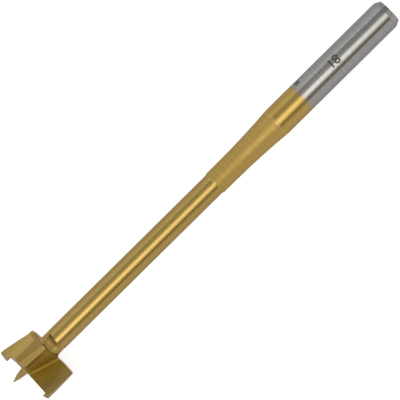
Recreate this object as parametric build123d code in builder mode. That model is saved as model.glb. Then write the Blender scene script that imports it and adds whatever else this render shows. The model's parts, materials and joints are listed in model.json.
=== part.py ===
from build123d import *

import math
import os

# A wood boring bit, ground from one bar of steel: a head with three wings round a centre point,
# a long shaft, and a neck that flares into the shank. Millimetres and degrees.
# The bit is described upright, standing on its centre point at the origin, and is laid down last.

# Lengths along the axis, in order from the tip
point_length = 4.06
head_length = 8.05
shaft_length = 57.5
neck_length = 4.15
flare_length = 18.3
shank_length = 38.8

# Diameters
cutting_diameter = 18.0
head_back_diameter = 17.7
shaft_diameter = 6.0
neck_diameter = 6.44
shank_diameter = 8.0

# Turned details
land_length = 1.1
back_chamfer_length = 0.25
back_chamfer_depth = 0.15
head_fillet = 1.0
step_radius = 1.0
end_chamfer_length = 1.45
end_chamfer_depth = 0.7

# Wings: angles are measured from each wing's lip, in the direction that trails behind it
wing_count = 3
first_wing_angle = 30.0
rake_angle = 15.0
lip_relief_angle = 12.0
land_angle = 30.3

# Rim spur, which scores the edge of the hole
spur_wall = 0.83
spur_height = 0.95
spur_bevel_drop = 0.27
spur_angle = 19.5
spur_root_radius = 0.3

# Relief groove and heel behind the land: radius and angle at the lips and at the head's back
groove_bottom_front = (8.03, 35.6)
groove_bottom_back = (6.91, 44.4)
groove_radius = 0.25
heel_front = (7.87, 50.1)
heel_back = (7.1, 52.2)

# Flute: how far its valley lies from the axis along the lip, at the lips and at the head's back
valley_front = 1.0
valley_back = 2.9
valley_radius = 0.7

# Centre point, a three-sided pyramid with a steeper foot
point_corner_lead = 15.5
point_tip_radius = 0.13
point_break_height = 1.7
point_break_radius = 0.76
point_foot_radius = 1.25
point_overlap = 0.5

# Scallops that a wheel grinds into the shaft behind each heel, with its rim and a sloping shoulder
scallop_angle = 50.4
scallop_floor = 1.64
scallop_tilt = 7.0
wheel_radius = 5.2
wheel_shoulder_length = 0.86
wheel_shoulder_slope = 23.0
wheel_rim_length = 1.9
wheel_rim_rise = 0.5
wheel_rim_crown = 4.7
wheel_back_radius = 0.35

# How far past the metal the grinding cuts start and stop, and how many times wider they open
clear_ahead = 0.4
clear_behind = 2.0
lip_overrun = 1.0
cut_spread = 6

# Rounds of reckoning in which the place of the lowest points settles
rest_rounds = 8

# Values that follow from the sizes above
lip_height = point_length
back_height = lip_height + head_length
shaft_end = back_height + shaft_length
neck_end = shaft_end + neck_length
shank_start = neck_end + flare_length
total_length = shank_start + shank_length
cutting_radius = cutting_diameter / 2
head_back_radius = head_back_diameter / 2
shaft_radius = shaft_diameter / 2
neck_radius = neck_diameter / 2
shank_radius = shank_diameter / 2
spur_top = lip_height - spur_height
spur_inner_radius = cutting_radius - spur_wall
rake_slope = math.tan(math.radians(rake_angle))
relief_slope = math.tan(math.radians(lip_relief_angle))
wing_step = 360 / wing_count
reach = cutting_diameter


def polar(radius, angle):
    """A point at a radius and an angle from the lip."""
    turn = math.radians(angle)
    return Vector(radius * math.cos(turn), radius * math.sin(turn))


def at_height(front, back, height):
    """A point on the straight line from front, at the lips, to back, at the head's back."""
    return front + (back - front) * ((height - lip_height) / head_length)


def wedge_cutter(apex, first, second, corner_radius):
    """A V-shaped cut along the head. Its corner and a point on each side are pairs: front, back."""
    with BuildPart() as cutter:
        for height in (spur_top - clear_ahead, back_height + clear_behind):
            corner = at_height(*apex, height)
            along = (at_height(*first, height) - corner) * cut_spread
            across = (at_height(*second, height) - corner) * cut_spread
            with BuildSketch(Plane.XY.offset(height)) as section:
                with BuildLine():
                    Polyline(corner, corner + along, corner + along + across, corner + across, close=True)
                make_face()
                fillet(section.vertices().sort_by_distance(corner + Vector(0, 0, height))[0], corner_radius)
        loft(ruled=True)
    return cutter.part


# The heel is where the relief groove meets the flute behind the wing
heel = (polar(*heel_front), polar(*heel_back))
heel_ahead = tuple(point.rotate(Axis.Z, -wing_step) for point in heel)
land_end = (polar(cutting_radius, land_angle), polar(head_back_radius, land_angle))
groove_bottom = (polar(*groove_bottom_front), polar(*groove_bottom_back))
rake_back = head_length * rake_slope
valley = (Vector(valley_front, 0), Vector(valley_back, rake_back))
rake_line = (Vector(cutting_radius, 0), Vector(cutting_radius, rake_back))

# Each flute runs from the rake face of a wing to the heel of the wing ahead
flute_cutter = wedge_cutter(valley, rake_line, heel_ahead, valley_radius)
groove_cutter = wedge_cutter(groove_bottom, land_end, heel, groove_radius)

# The flank falls away behind the lip and leaves the rim spur standing
flank_plane = Plane(
    origin=(0, 0, lip_height),
    x_dir=(1, 0, 0),
    z_dir=(0, -math.sin(math.radians(lip_relief_angle)), math.cos(math.radians(lip_relief_angle))),
)
spur_foot = polar(spur_inner_radius, spur_angle)
with BuildPart() as flank_cutter:
    with BuildSketch(Plane.XY.offset(spur_top - clear_ahead)):
        with BuildLine():
            Polyline(
                (0, -lip_overrun),
                (reach, -lip_overrun),
                polar(reach, wing_step / 2),
                polar(reach, wing_step),
                (0, 0),
                close=True,
            )
        make_face()
        with BuildLine():
            inner_wall = CenterArc((0, 0), spur_inner_radius, -spur_angle, 2 * spur_angle)
            Polyline(inner_wall @ 1, polar(2 * reach, spur_angle), polar(2 * reach, -spur_angle), inner_wall @ 0)
        make_face(mode=Mode.SUBTRACT)
    extrude(amount=head_length)
    split(bisect_by=flank_plane, keep=Keep.BOTTOM)
    spur_foot_height = lip_height + relief_slope * spur_foot.Y
    spur_root = flank_cutter.faces().filter_by(flank_plane).edges()
    fillet(spur_root.sort_by_distance(spur_foot + Vector(0, 0, spur_foot_height))[:2], spur_root_radius)

# The wheel stands behind the head, square to the shaft apart from a small tilt
scallop_out = polar(1, scallop_angle)
wheel_centre = scallop_out * (scallop_floor + wheel_radius) + Vector(0, 0, back_height)
wheel_axis = Vector(0, 0, 1).rotate(Axis((0, 0, 0), scallop_out), -scallop_tilt)
rim_foot = wheel_radius - wheel_rim_rise
shoulder_foot = rim_foot - wheel_shoulder_length * math.tan(math.radians(wheel_shoulder_slope))
wheel_length = wheel_shoulder_length + wheel_rim_length
with BuildPart() as scallop_cutter:
    with BuildSketch(Plane(origin=wheel_centre, x_dir=-scallop_out, z_dir=wheel_axis.cross(scallop_out))):
        with BuildLine():
            shoulder = Polyline((0, 0), (shoulder_foot, 0), (rim_foot, wheel_shoulder_length))
            rim = RadiusArc(shoulder @ 1, (wheel_radius, wheel_length - wheel_back_radius), wheel_rim_crown)
            back = TangentArc(rim @ 1, (wheel_radius - wheel_back_radius, wheel_length), tangent=(0, 1))
            Polyline(back @ 1, (0, wheel_length), (0, 0))
        make_face()
    revolve(axis=Axis(wheel_centre, wheel_axis))

with BuildPart() as centre_point:
    for height, radius in (
        (0, point_tip_radius),
        (point_break_height, point_break_radius),
        (lip_height, point_foot_radius),
        (lip_height + point_overlap, point_foot_radius),
    ):
        with BuildSketch(Plane.XY.offset(height)):
            RegularPolygon(radius, wing_count, rotation=first_wing_angle - point_corner_lead)
    loft(ruled=True)

with BuildPart() as upright_bit:
    with BuildSketch(Plane.XZ):
        with BuildLine():
            step_rise = neck_radius - shaft_radius
            step_run = math.sqrt(step_rise * (2 * step_radius - step_rise))
            front = Polyline(
                (0, spur_top),
                (spur_inner_radius, spur_top),
                (cutting_radius, spur_top + spur_bevel_drop),
                (cutting_radius, lip_height + land_length),
                (head_back_radius, back_height - back_chamfer_length),
                (head_back_radius - back_chamfer_depth, back_height),
                (shaft_radius + head_fillet, back_height),
            )
            shaft_foot = TangentArc(front @ 1, (shaft_radius, back_height + head_fillet), tangent=(-1, 0))
            shaft = Line(shaft_foot @ 1, (shaft_radius, shaft_end))
            step = TangentArc(shaft @ 1, (neck_radius, shaft_end + step_run), tangent=(0, 1))
            neck = Line(step @ 1, (neck_radius, neck_end))
            flare = TangentArc(neck @ 1, (shank_radius, shank_start), tangent=(0, 1))
            Polyline(
                flare @ 1,
                (shank_radius, total_length - end_chamfer_length),
                (shank_radius - end_chamfer_depth, total_length),
                (0, total_length),
                front @ 0,
            )
        make_face()
    revolve(axis=Axis.Z)
    with PolarLocations(0, wing_count, start_angle=first_wing_angle):
        add(flute_cutter, mode=Mode.SUBTRACT)
        add(groove_cutter, mode=Mode.SUBTRACT)
        add(flank_cutter.part, mode=Mode.SUBTRACT)
        add(scallop_cutter.part, mode=Mode.SUBTRACT)
    add(centre_point.part)

# Lying down, the bit rests on the front of one heel, on the spur corner of the wing behind it
# and on the edge of the shank's end chamfer.
heel_drift = (heel[1] - heel[0]).Y / head_length
heel_height = lip_height + relief_slope * heel[0].Y / (1 - relief_slope * heel_drift)
heel_point = at_height(*heel, heel_height) + Vector(0, 0, heel_height)
spur_rim = spur_top + spur_bevel_drop
spur_lead = (spur_rim - lip_height) * rake_slope
spur_corner = Vector(math.sqrt(cutting_radius**2 - spur_lead**2), spur_lead, spur_rim)
heel_point = heel_point.rotate(Axis.Z, first_wing_angle)
spur_corner = spur_corner.rotate(Axis.Z, first_wing_angle + wing_step)
shank_rim = Vector(0, 0, total_length - end_chamfer_length)
down = heel_point + spur_corner
for _ in range(rest_rounds):
    shank_point = shank_rim + Vector(down.X, down.Y).normalized() * shank_radius
    down = (shank_point - heel_point).cross(spur_corner - heel_point).normalized()
    if down.dot(heel_point) < 0:
        down = -down
floor = Plane(origin=shank_point, x_dir=Vector(0, 0, 1) + down * -down.Z, z_dir=-down)

lying_bit = upright_bit.part.moved(floor.location.inverse())
lying_box = lying_bit.bounding_box()
with BuildPart() as boring_bit:
    add(lying_bit.moved(Pos(-lying_box.center().X, -lying_box.center().Y, -lying_box.min.Z)))

boring_bit.part.label = "boring_bit"
os.makedirs("parts", exist_ok=True)
export_step(boring_bit.part, "parts/boring_bit.step")
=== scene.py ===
# %% [markdown]
# # A wood boring bit in its finish
# The bit is one bar of steel: a head with three wings round a centre point, a thin shaft, a turned
# neck that flares out, and a round shank. A gold nitride coating covers all of it except the end of
# the shank, which is bare ground steel.
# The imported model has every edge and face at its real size, so this lesson leaves the metal as it is
# and works on what the eye sees: the camera, the light tent round a shiny tool, the ground and turned
# surfaces, the edge of the coating and the number on the shank.

import json
import math

import bmesh
import bpy
from mathutils import Matrix, Vector


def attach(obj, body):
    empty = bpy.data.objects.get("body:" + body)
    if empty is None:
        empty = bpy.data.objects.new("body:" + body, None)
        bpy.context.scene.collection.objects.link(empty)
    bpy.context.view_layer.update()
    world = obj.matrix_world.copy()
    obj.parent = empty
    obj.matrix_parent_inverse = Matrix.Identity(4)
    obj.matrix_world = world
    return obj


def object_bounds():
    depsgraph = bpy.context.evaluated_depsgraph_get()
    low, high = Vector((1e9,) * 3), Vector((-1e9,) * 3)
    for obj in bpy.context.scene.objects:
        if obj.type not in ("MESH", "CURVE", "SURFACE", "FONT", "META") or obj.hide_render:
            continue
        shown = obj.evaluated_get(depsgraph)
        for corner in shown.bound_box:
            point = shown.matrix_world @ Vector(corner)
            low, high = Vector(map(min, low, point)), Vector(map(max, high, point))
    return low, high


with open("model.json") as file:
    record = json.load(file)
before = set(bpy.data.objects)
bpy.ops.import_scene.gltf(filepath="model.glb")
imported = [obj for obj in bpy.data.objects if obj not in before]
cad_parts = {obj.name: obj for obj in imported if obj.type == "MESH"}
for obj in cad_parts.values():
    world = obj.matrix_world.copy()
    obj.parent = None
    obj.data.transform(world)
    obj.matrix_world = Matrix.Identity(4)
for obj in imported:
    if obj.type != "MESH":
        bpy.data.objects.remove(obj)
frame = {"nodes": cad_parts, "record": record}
solid_box = [list(corner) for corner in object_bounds()]
bit = frame["nodes"]["boring_bit"]
print(bit.name, "has", len(bit.data.polygons), "faces in the box", solid_box)

# %% [markdown]
# ## The bit's own axis
# The bit lies on its head and on the edge of its shank, so its axis slopes by a little more than a
# degree. Nearly everything below is measured along that axis or round it. The record already holds
# it, as the axis of the shank that a chuck closes on, so it is read from there and not typed again.

# %% Where the axis runs
MM = 0.001
shank_mount = frame["record"]["mounts"][0]
axis = Vector(shank_mount["axis"])
shank_middle = Vector(shank_mount["pos_m"])
shank_radius = shank_mount["dims"]["r_mm"] * MM
tip = shank_middle + axis * ((solid_box[0][0] - shank_middle.x) / axis.x)
slope = math.asin(-axis.z)


def on_axis(along):
    """The point of the axis at a distance from the tip."""
    return tip + axis * along


print("the axis slopes by", round(math.degrees(slope), 2), "degrees")

# %% [markdown]
# ## Camera
# The picture is taken from 54 degrees above the table, through a long lens, so the sides of the bit
# hardly draw together. The bit lies across the frame from corner to corner.
# A camera can be aimed with a constraint, but the roll that brings the bit onto the diagonal would
# still have to be found by hand. Building its three directions from the axis gives the roll exactly.

# %% The picture's three directions
view_elevation = math.radians(54.0)
roll_on_diagonal = math.radians(44.66)

toward_camera = Vector((0, -math.cos(view_elevation), math.sin(view_elevation)))
toward_camera = (toward_camera - axis * toward_camera.dot(axis)).normalized()
across = axis.cross(toward_camera)
picture_right = axis * math.cos(roll_on_diagonal) + across * math.sin(roll_on_diagonal)
picture_up = axis * math.sin(roll_on_diagonal) - across * math.cos(roll_on_diagonal)
print("the camera stands towards", [round(side, 3) for side in toward_camera])

# %% Lens and place
picture_centre_along = 64.6 * MM
picture_centre_aside = 0.38 * MM
camera_distance = 629.0 * MM
picture_width = 99.08 * MM
nearest_seen = 50.0 * MM

lens = bpy.data.cameras.new("camera")
lens.lens = lens.sensor_width * camera_distance / picture_width
lens.clip_start = nearest_seen
camera = bpy.data.objects.new("camera", lens)
looked_at = on_axis(picture_centre_along) + across * picture_centre_aside
camera_turn = Matrix((picture_right, picture_up, toward_camera)).transposed()
camera.matrix_world = (
    Matrix.Translation(looked_at + toward_camera * camera_distance) @ camera_turn.to_4x4()
)
bpy.context.scene.collection.objects.link(camera)
bpy.context.scene.camera = camera
print("lens", round(lens.lens, 1), "mm")

# %% [markdown]
# ## Maths for the shaders
# A finish is mostly arithmetic on places: how far along the bit a point is, how far round it, and how
# strong a mark is there. In the editor each sum is a Math node and its wires. Here one small class
# wraps an output socket, so that a sum is written as a sum, and the nodes come from it.

# %% A socket that can be calculated with
class Value:
    """An output socket. Arithmetic on it adds Math nodes to its tree."""

    def __init__(self, finish, socket):
        self.finish = finish
        self.socket = socket

    def math(self, operation, *others):
        return self.finish.node("Math", {"operation": operation}, dict(enumerate((self, *others))))

    def reflected(self, operation, other):
        return self.finish.node("Math", {"operation": operation}, {0: other, 1: self})

    def __add__(self, other):
        return self.math("ADD", other)

    def __sub__(self, other):
        return self.math("SUBTRACT", other)

    def __rsub__(self, other):
        return self.reflected("SUBTRACT", other)

    def __mul__(self, other):
        return self.math("MULTIPLY", other)

    def __truediv__(self, other):
        return self.math("DIVIDE", other)

    __radd__ = __add__
    __rmul__ = __mul__

    def rise(self, start, end):
        """0 before start, 1 after end, and a smooth rise between them."""
        settings = {"interpolation_type": "SMOOTHSTEP"}
        inputs = {"Value": self, "From Min": start, "From Max": end}
        return self.finish.node("MapRange", settings, inputs)

    def band(self, start, end, softness):
        """1 between start and end, with borders as wide as the softness on both sides of them."""
        half = softness / 2
        return self.rise(start - half, start + half) - self.rise(end - half, end + half)


print("sums on sockets become Math nodes")

# %% [markdown]
# Every other node comes from one method, which sets the node's settings before its sockets, since
# some sockets only appear once the settings are made. Colours go through Mix, because a Math node
# would turn them grey.

# %% A node tree that grows from calls
class Finish:
    """The node tree of a material or of the world."""

    def __init__(self, owner, output="Material"):
        self.owner = owner
        owner.use_nodes = True
        self.tree = owner.node_tree
        self.tree.nodes.clear()
        self.end = self.tree.nodes.new("ShaderNodeOutput" + output)

    def node(self, kind, settings=(), inputs=(), output=0):
        made = self.tree.nodes.new("ShaderNode" + kind)
        for name, value in dict(settings).items():
            setattr(made, name, value)
        for name, value in dict(inputs).items():
            if isinstance(value, Value):
                self.tree.links.new(value.socket, made.inputs[name])
            else:
                made.inputs[name].default_value = value
        return Value(self, made.outputs[output])

    def mix(self, share, first, second):
        """The colour between first and second at a share from 0 to 1."""
        first, second = (c if isinstance(c, Value) else (*c, 1) for c in (first, second))
        return self.node("Mix", {"data_type": "RGBA"}, {0: share, 6: first, 7: second}, output=2)

    def noise(self, place, waves, detail=2.0):
        """A soft noise from 0 to 1 at a number of waves to the metre."""
        inputs = {"Vector": place, "Scale": waves, "Detail": detail}
        return self.node("TexNoise", {}, inputs, output="Fac")

    def rings(self, along, waves, detail=3.0):
        """Rings round the axis, uneven along it, as a turning or grinding tool leaves them."""
        inputs = {"W": along, "Scale": waves, "Detail": detail}
        return self.node("TexNoise", {"noise_dimensions": "1D"}, inputs, output="Fac")

    def surface(self, shader):
        self.tree.links.new(shader.socket, self.end.inputs["Surface"])


print("node trees are ready")

# %% [markdown]
# ## Light tent
# Polished metal shows the room more than itself, so a shiny tool is photographed inside a tent of
# pale cloth. What shapes the bit is where the cloth is brighter or darker: a lamp behind it, a panel
# on one side, a gap where two cloths meet.
# Lamps could stand for the cloths, but a lamp's border is hard, and it would show as a hard line all
# along the shaft. A world that is painted by direction has borders as soft as cloth, and the same
# light reaches every part of the bit. The paint is set out as the bit sees it: the turn round its
# axis, from the camera's side, and the tilt towards the shank, both in degrees.

# %% Directions as the bit sees them
tent = Finish(bpy.data.worlds.new("light_tent"), "World")
outward = tent.node("TexCoord", output="Generated")


def share_toward(direction):
    """How much of the world's direction points one way."""
    inputs = {0: outward, 1: direction}
    return tent.node("VectorMath", {"operation": "DOT_PRODUCT"}, inputs, output="Value")


to_degrees = 180 / math.pi
turn = share_toward(across).math("ARCTAN2", share_toward(toward_camera)) * to_degrees
tilt = share_toward(axis).math("ARCSINE") * to_degrees
upward = share_toward(Vector((0, 0, 1)))
print("the camera stands at a turn of 0 and a tilt of 0")

# %% [markdown]
# ### Cloth and panels
# Each patch of the tent is one line: how much it adds to the cloth's white of 1, then where it starts
# and ends round the axis and how soft its borders are, and the same along the axis.
# The straight shaft and shank mirror a thin slice of the tent, near a tilt of 0. Whatever widens
# towards the shank, such as the flare, mirrors a slice nearer the tip, and whatever narrows, such as
# a chamfer, one nearer the shank. So a patch can be meant for one part of the bit: the side panel for
# the lands of the wings, the edge panel for the chamfer behind them, the far panel for the scallops
# in the shaft, and the end panel for the chamfer at the shank's end. What is meant for the shaft is
# multiplied by near, which fades it out before the tilts of those last three.

# %% Cloth and panels
near = 1 - tilt.rise(28, 40)
cloth = 1.0 - 0.38 * (tilt.rise(4, 22) - tilt.rise(56, 64))
tip_panel = 0.16 * (1 - tilt.rise(-26, -20))
side_panel = 0.28 * turn.band(-76, -52, 14) * near
edge_panel = 0.25 * (1 - turn.rise(-84, -70)) * tilt.band(28, 60, 10)
far_panel = 0.42 * turn.band(-44, 12, 8) * tilt.band(31, 46, 8)
end_panel = 0.50 * turn.band(-8, 40, 8) * tilt.band(44, 58, 6)
panels = tip_panel + side_panel + edge_panel + far_panel + end_panel
print("cloth and panels take", len(tent.tree.nodes), "nodes")

# %% [markdown]
# ### Gap, seam and shades
# These take light away, and they draw the bit as much as the lamps do. The gap and the seam are the
# dark lines on both sides of the long highlight, and the groove behind a land mirrors the gap too.
# The head's shade is for the heel behind the groove, and the end's shade for the end chamfer.
# The gap, and the lamp after it, hang a little askew. The flare mirrors them at another tilt than the
# shaft does, so on the flare the lines drift sideways and change in strength.

# %% Gap, seam and shades
widest_lean = 4.5
lean = tilt.math("MAXIMUM", -widest_lean).math("MINIMUM", widest_lean)
gap = (0.68 - 0.012 * lean) * (turn.rise(29, 35) - (turn + lean * 1.6).rise(52, 58)) * near
seam = (0.38 * turn.band(-50, -33, 10) + (0.12 - 0.015 * lean) * turn.band(-33, -12, 8)) * near
far_shade = 0.09 * (1 - turn.rise(-108, -92))
head_shade = 0.78 * turn.band(-36, 14, 10) * tilt.band(7.0, 15.5, 2.0)
end_shade = (0.2 * turn.band(-66, -10, 10) + 0.14 * turn.band(44, 68, 10)) * tilt.band(44, 58, 6)
shades = far_shade + seam + head_shade + gap + end_shade
print("with the shades they take", len(tent.tree.nodes), "nodes")

# %% [markdown]
# ### Lamps behind the cloth
# The main lamp makes the highlight along the shaft, the neck and the shank. Its halo goes on towards
# the shank behind the head's shade, where the matt faces of the flutes gather it. A small strong lamp
# near the tip is for the step between shaft and neck, which is steep enough to mirror it.

# %% Lamps
lamp_place = turn + lean * 0.4 - 6 * tilt.rise(6, 8)
lamp = (2.34 - 0.03 * lean) * lamp_place.band(-8, 20, 8) * tilt.band(-20, 8.2, 5)
lamp_halo = 0.7 * turn.band(-25, 22, 10) * tilt.band(15.5, 28, 8)
tip_lamp = 5.0 * turn.band(-6, 12, 5) * tilt.band(-64, -37, 6)
lamps = lamp + lamp_halo + tip_lamp
print("with the lamps they take", len(tent.tree.nodes), "nodes")

# %% [markdown]
# ### Colour of the light
# The cloths aren't the same white: they are a little cool on the side that the lands mirror, and a
# little warm elsewhere. The light in the gap is amber, which keeps the dark line on the gold from
# turning grey. Below the horizon there is only the floor, so the paint fades into one even white
# there.

# %% Colour of the light
white_light = (1.0, 1.0, 1.0)
warm_light = (1.0, 0.985, 0.93)
cool_light = (0.985, 1.0, 1.02)
far_light = (1.0, 1.0, 1.05)
gap_light = (1.0, 0.83, 0.52)
amber_share = 1.8
light_below = 0.92

horizon = upward.rise(0.0, 0.06)
brightness = cloth + panels - shades + lamps
brightness = light_below * (1 - horizon) + brightness * horizon
light_colour = tent.mix(turn.rise(-52, -38), cool_light, warm_light)
light_colour = tent.mix(turn.rise(-108, -92), far_light, light_colour)
light_colour = tent.mix(gap * amber_share, light_colour, gap_light)
light_colour = tent.mix(horizon, white_light, light_colour)
tent.surface(tent.node("Background", {}, {"Color": light_colour, "Strength": brightness}))
bpy.context.scene.world = tent.owner
print("tent has", len(tent.tree.nodes), "nodes")

# %% [markdown]
# ## Floor
# A plain pale sheet runs far past the frame. Lit paper comes out a little grey, and the shadow on it
# dark. So the sheet is a middle grey with a glow of its own: together they reach white, and the
# shadow, which dims the lit share alone, stays very faint. Light Path tells the rays apart, so the
# glow can be a little weaker in what the metal mirrors than it is for the camera.

# %% Pale floor
floor_radius = 4.0
floor_grey = (0.38, 0.38, 0.38)
floor_glow = 0.775
mirrored_share = 0.81
mirrored_glow = (1.0, 1.0, 1.03)

plate = bmesh.new()
bmesh.ops.create_circle(plate, cap_ends=True, segments=96, radius=floor_radius)
floor_mesh = bpy.data.meshes.new("floor")
plate.to_mesh(floor_mesh)
plate.free()
floor = bpy.data.objects.new("floor", floor_mesh)
bpy.context.scene.collection.objects.link(floor)

paper = Finish(bpy.data.materials.new("pale_floor"))
seen = paper.node("LightPath", output="Is Camera Ray")
mirrored = paper.node("LightPath", output="Is Glossy Ray")
through = paper.node("LightPath", output="Is Transmission Ray")
lit = (seen + mirrored * mirrored_share + through).math("MINIMUM", 1.0)
glow_colour = paper.mix(mirrored, white_light, mirrored_glow)
glow = paper.node("Emission", {}, {"Color": glow_colour, "Strength": lit * floor_glow})
sheet = paper.node("BsdfDiffuse", {}, {"Color": (*floor_grey, 1)})
paper.surface(paper.node("AddShader", {}, {0: sheet, 1: glow}))
floor_mesh.materials.append(paper.owner)
print("floor reaches", floor_radius, "metres")

# %% [markdown]
# ## Places on the bit
# Object coordinates are the model's own metres, and they stay with the metal in any view. One Mapping
# node moves their zero to the tip and turns them onto the axis. After it, X runs along the bit, and
# the other two give the distance from the axis and the angle round it.

# %% Coordinates along the bit and round it
metal = Finish(bpy.data.materials.new("coated_tool_steel"))
from_tip = {
    "Vector": metal.node("TexCoord", output="Object"),
    "Location": tip,
    "Rotation": (0, slope, 0),
}
place = metal.node("Mapping", {"vector_type": "TEXTURE"}, from_tip)
along, beside, above = (
    metal.node("SeparateXYZ", {}, {"Vector": place}, output=side) for side in "XYZ"
)
from_axis = (beside * beside + above * above).math("SQRT")
round_it = beside.math("ARCTAN2", above)
print("places run from the tip at", [round(value, 4) for value in tip])

# %% [markdown]
# ## Where each finish starts and ends
# The whole bit is one piece of metal, so it has one material, and each finish is a stretch along it.
# The neck and its flare were turned and stay matt. The shaft, with the small step at its end, and the
# shank were ground after that, and the border between matt and ground is crisp. A thin ring just
# before the shank is smoother than the rest of the flare and catches the light. A touch of paler gold
# on it is a painted highlight, which whitens that glint.

# %% Turned stretch and coated shank
turned_start = 70.22 * MM
turned_end = 91.75 * MM
crisp = 0.1 * MM

turned = along.band(turned_start, turned_end, crisp)
flare_rim = along.band(turned_end - 0.58 * MM, turned_end - 0.24 * MM, crisp)
on_shank = along.rise(turned_end - crisp, turned_end + crisp)
print("the turned stretch is", round((turned_end - turned_start) / MM, 1), "mm long")

# %% [markdown]
# ### Edge of the coating
# The coating ends on the shank with a soft and slightly wavy edge, because a holder kept that end
# covered while the bit was coated. It grows thin and greyish first. Then most of it stops within a
# millimetre, and a last trace fades out behind. A straight border would look like paint, so a slow
# noise moves it to and fro.

# %% Edge of the coating
coating_end = 100.46 * MM
edge_wander = 0.9 * MM
edge_waves = 220
firm_share = 0.84

ragged = along + (metal.noise(place, edge_waves) - 0.5) * edge_wander
firm_end = ragged.rise(coating_end - 0.4 * MM, coating_end + 0.3 * MM)
last_trace = ragged.rise(coating_end + 0.1 * MM, coating_end + 1.6 * MM)
bare = firm_share * firm_end + (1 - firm_share) * last_trace
thin_coat = ragged.rise(coating_end - 0.9 * MM, coating_end)
print("coating ends", round(coating_end / MM, 1), "mm from the tip")

# %% [markdown]
# ### Faces of the head
# The lands and heels are ground bright, and the faces inside the flutes are matt. The deeper gold
# inside the flutes is painted shade. The head's back is matt too, and its paler gold is painted
# light. Behind each heel a wheel has cut a scallop into the shaft. The scallops are matt as well,
# and a paler gold in their middle is a painted highlight.
# No face has to be picked by hand, because each lies at its own distance along the bit and from its
# axis. What is nearer the axis than the shaft's skin, just behind the head, can only be a scallop.

# %% Faces of the head
lips_at = 4.06 * MM
head_back = 12.11 * MM
scallops_end = 14.8 * MM
flute_inside = 4.4 * MM
flute_outside = 7.8 * MM
fillet_edge = 3.9 * MM
shaft_radius = 3.0 * MM
wings = 3
first_scallop = math.radians(-78)

ahead_of_lips = 1 - along.rise(lips_at - 0.3 * MM, lips_at + 0.3 * MM)
in_head = along.band(lips_at, head_back, 0.4 * MM)
in_flutes = in_head * (1 - from_axis.rise(flute_inside, flute_outside))
at_back = along.band(head_back - 0.05 * MM, head_back + 0.15 * MM, 0.05 * MM)
back_face = at_back * from_axis.rise(fillet_edge - 0.2 * MM, fillet_edge + 0.2 * MM)
under_skin = 1 - from_axis.rise(shaft_radius - 0.1 * MM, shaft_radius - 0.02 * MM)
in_scallops = along.band(head_back, scallops_end, 0.3 * MM) * under_skin
scallop_middles = (wings * (round_it - first_scallop)).math("COSINE")
# The middle of each scallop gets a pale gold there: a painted highlight.
scallop_painted_highlight = in_scallops * scallop_middles.rise(0.3, 0.9)
print("the head reaches", round((head_back - lips_at) / MM, 2), "mm back from its lips")

# %% [markdown]
# ## Rings and grain
# The lathe tool leaves rings on the turned neck. They are some four tenths of a millimetre apart and
# uneven, with torn flecks between them that lie round the bit and glint. The ground shaft and shank
# have far finer and shallower rings.
# A Wave texture makes rings too, but evenly spaced ones look like a thread. Noise in one dimension
# gives rings of which no two are alike, and noise in three gives the grain.

# %% Rings and grain
ring_waves = 2400
fine_ring_waves = 9000
mottle_waves = 900
grain_waves = 4200
fleck_waves = 4600
drawn_round = (1.0, 0.35, 0.35)

feed_rings = metal.rings(along, ring_waves, detail=4.0)
fine_rings = metal.rings(along, fine_ring_waves)
mottle = metal.noise(place, mottle_waves)
grain = metal.noise(place, grain_waves)
fleck_place = metal.node("VectorMath", {"operation": "MULTIPLY"}, {0: place, 1: drawn_round})
flecks = metal.noise(fleck_place, fleck_waves)
glints = flecks.rise(0.58, 0.68) * turned
print("the lathe's rings are about", round(1 / ring_waves / MM, 2), "mm apart")

# %% [markdown]
# ### Bump and roughness
# The marks are far too small to model, so they only tip the light, as bump. How sharply a stretch
# mirrors the tent is its roughness. It starts from that of the ground coating. The turned stretch,
# the flutes, the scallops and the head's back add to it, and the flecks that glint, the flare's rim
# and the bare steel take some away.

# %% Bump
height_unit = 0.01 * MM
ring_height = 2.0
fleck_height = 1.5
fine_ring_height = 0.15

turned_marks = feed_rings * ring_height + flecks * fleck_height
height = turned_marks * turned + fine_rings * fine_ring_height
bump = metal.node("Bump", {}, {"Strength": 0.5, "Distance": height_unit, "Height": height})
print("a mark with a height of 1 stands for", round(height_unit / MM, 3), "mm")

# %% Roughness
ground_roughness = 0.28
neck_roughness = 0.59
flare_roughness = 0.54
neck_end = 77 * MM
flare_middle = 86 * MM
grain_swing = 0.04

on_flare = along.rise(neck_end, flare_middle)
turned_roughness = neck_roughness - (neck_roughness - flare_roughness) * on_flare
rougher = turned * (turned_roughness - ground_roughness)
rougher = rougher + in_flutes * 0.36 + in_scallops * 0.16 + back_face * 0.15
smoother = glints * 0.20 + flare_rim * 0.18 + bare * 0.09
roughness = ground_roughness + rougher - smoother + (grain - 0.5) * grain_swing
print("ground coating has a roughness of", ground_roughness, "and the turned neck", neck_roughness)

# %% [markdown]
# ## Gold
# A metal's Base Color is the share of red, green and blue that it mirrors. Each stretch has a deep
# and a light gold, and the grain or the rings choose between them, because one flat gold looks like
# plastic. The turned neck's pair is the lightest: a matt stretch has no sharp highlight, and would
# look dull in the gold of the shaft.

# %% Gold of the shaft, the shank and the neck
shaft_golds = (0.34, 0.232, 0.069), (0.37, 0.254, 0.08)
shank_golds = (0.37, 0.252, 0.071), (0.402, 0.275, 0.082)
turned_golds = (0.394, 0.269, 0.078), (0.438, 0.301, 0.089)

grained = (mottle * 0.4 + grain * 0.6).rise(0.25, 0.75)
shaft_colour = metal.mix(grained, *shaft_golds)
shank_colour = metal.mix(grained, *shank_golds)
turned_colour = metal.mix(feed_rings.rise(0.35, 0.65), *turned_golds)
coat_colour = metal.mix(on_shank, shaft_colour, shank_colour)
coat_colour = metal.mix(turned, coat_colour, turned_colour)
print("the shaft's deep and light gold:", shaft_golds)

# %% [markdown]
# The places that were set apart above get their own gold on top of these, one Mix node each.

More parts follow.
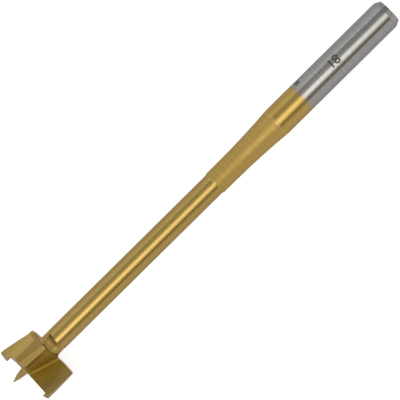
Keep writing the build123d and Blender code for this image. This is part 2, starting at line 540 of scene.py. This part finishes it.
# %% Gold of the other places
edge_gold = (0.33, 0.238, 0.112)
# The rim's paler gold is a painted highlight on top of its real smoothness.
rim_glint_gold = (0.62, 0.50, 0.30)
# The deeper gold inside the flutes is painted shade.
flute_shade_gold = (0.346, 0.229, 0.036)
point_gold = (0.32, 0.226, 0.103)
# The paler gold of the head's back is painted light.
back_painted_light_gold = (0.42, 0.32, 0.16)
# The pale gold in the middle of each scallop is a painted highlight.
scallop_highlight_gold = (0.66, 0.47, 0.18)
rim_glint_share = 0.08

other_golds = (
    (thin_coat, edge_gold),
    (flare_rim * rim_glint_share, rim_glint_gold),
    (in_flutes, flute_shade_gold),
    (ahead_of_lips, point_gold),
    (back_face, back_painted_light_gold),
    (scallop_painted_highlight, scallop_highlight_gold),
)
for share, other_gold in other_golds:
    coat_colour = metal.mix(share, coat_colour, other_gold)
print(len(other_golds), "places have a gold of their own")

# %% [markdown]
# ## Bare steel
# The uncovered end of the shank is streaked by its grinding. Near the coating's edge it has a small
# dark rub mark of a few slanted strokes, which is a sine of the way along and the turn together,
# inside a patch with soft borders.

# %% Bare steel and its rub mark
bare_steels = (0.258, 0.256, 0.249), (0.283, 0.28, 0.269)
rubbed_steel = (0.09, 0.088, 0.084)
streak_waves = 1500
rub_from = 101.15 * MM
rub_to = 102.6 * MM
stroke_spacing = 0.5 * MM
stroke_slant = 1.6

streaks = metal.rings(along, streak_waves, detail=6.0).rise(0.3, 0.7)
steel_colour = metal.mix(streaks, *bare_steels)
rub_place = along.band(rub_from, rub_to, 0.3 * MM) * round_it.band(0.2, 0.58, 0.1)
strokes = (along / stroke_spacing + round_it * stroke_slant) * (2 * math.pi)
rub = rub_place * (0.6 + 0.4 * strokes.math("SINE").rise(-0.4, 0.4))
steel_colour = metal.mix(rub, steel_colour, rubbed_steel)
print("the rub mark is", round((rub_to - rub_from) / MM, 2), "mm long")

# %% [markdown]
# ## The metal
# All of it meets in one metallic shader. Its Specular Tint lowers what it mirrors at a glancing
# angle, or the sides of the shaft would turn white.

# %% The metal
glancing_tint = (0.57, 0.55, 0.57)
metal.surface(metal.node("BsdfPrincipled", {}, {
    "Base Color": metal.mix(bare, coat_colour, steel_colour),
    "Metallic": 1.0,
    "Roughness": roughness,
    "Specular Tint": (*glancing_tint, 1),
    "Normal": bump,
}))
bit.data.materials[0] = metal.owner
print("metal has", len(metal.tree.nodes), "nodes")

# %% [markdown]
# ## The number on the shank
# A laser has darkened a number into the bare steel. It has no depth to speak of, but it has crisp
# edges, which a texture without a picture can't give. So the digits are set as text, a little bolder
# than the font and as thin as a coat of paint, and made a mesh.

# %% Flat digits
number_height = 2.5 * MM
digit_share = 0.72
number_skin = 0.012 * MM
number_boldness = 0.05 * MM

lettering = bpy.data.curves.new("size_number", "FONT")
lettering.body = "18"
lettering.size = number_height / digit_share
lettering.align_x = "CENTER"
lettering.align_y = "CENTER"
lettering.extrude = number_skin
lettering.offset = number_boldness
written = bpy.data.objects.new("size_number", lettering)
bpy.context.scene.collection.objects.link(written)
bpy.context.view_layer.update()
flat = bpy.data.meshes.new_from_object(written)
bpy.data.objects.remove(written)
print("flat digits have", len(flat.polygons), "faces")

# %% [markdown]
# The digits have to follow the round shank, and a face can't bend in its middle. So they are sliced
# first, from top to bottom and a little past both, and then each vertex is moved to its place: its
# height becomes a turn round the axis and its thickness a distance from it.

# %% Digits wrapped on the steel
number_along = 111.96 * MM
number_round = math.radians(-9.5)
slices = 24
sliced_height = number_height * 1.4
same_place = 1e-7

digits = bmesh.new()
digits.from_mesh(flat)
bmesh.ops.remove_doubles(digits, verts=digits.verts, dist=same_place)
for cut in range(1, slices):
    cut_height = sliced_height * (cut / slices - 0.5)
    everything = digits.verts[:] + digits.edges[:] + digits.faces[:]
    bmesh.ops.bisect_plane(digits, geom=everything, plane_co=(0, cut_height, 0), plane_no=(0, 1, 0))

for vert in digits.verts:
    around = number_round - vert.co.y / shank_radius
    outward_here = toward_camera * math.cos(around) + across * math.sin(around)
    vert.co = on_axis(number_along + vert.co.x) + outward_here * (shank_radius + vert.co.z)
bmesh.ops.recalc_face_normals(digits, faces=digits.faces)
digits.to_mesh(flat)
digits.free()

number = bpy.data.objects.new("size_number", flat)
bpy.context.scene.collection.objects.link(number)
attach(number, "root")
print("wrapped digits have", len(flat.polygons), "faces")

# %% [markdown]
# ### Darkened steel
# What the laser leaves is an oxide: nearly black, half matt, and speckled where the steel shows
# through.

# %% Darkened steel
darkened_steels = (0.035, 0.03, 0.028), (0.10, 0.09, 0.08)
speckle_waves = 9000

ink = Finish(bpy.data.materials.new("laser_darkened_steel"))
speckles = ink.noise(ink.node("TexCoord", output="Object"), speckle_waves)
ink.surface(ink.node("BsdfPrincipled", {}, {
    "Base Color": ink.mix(speckles, *darkened_steels),
    "Metallic": 0.6,
    "Roughness": 0.5,
}))
flat.materials.clear()
flat.materials.append(ink.owner)
print("darkened steel has", len(ink.tree.nodes), "nodes")

# %% [markdown]
# ## View transform
# The picture is shown through the Standard view transform. The finished bit has to stay inside the
# imported model's box.

# %% Standard view transform
bpy.context.scene.view_settings.view_transform = "Standard"
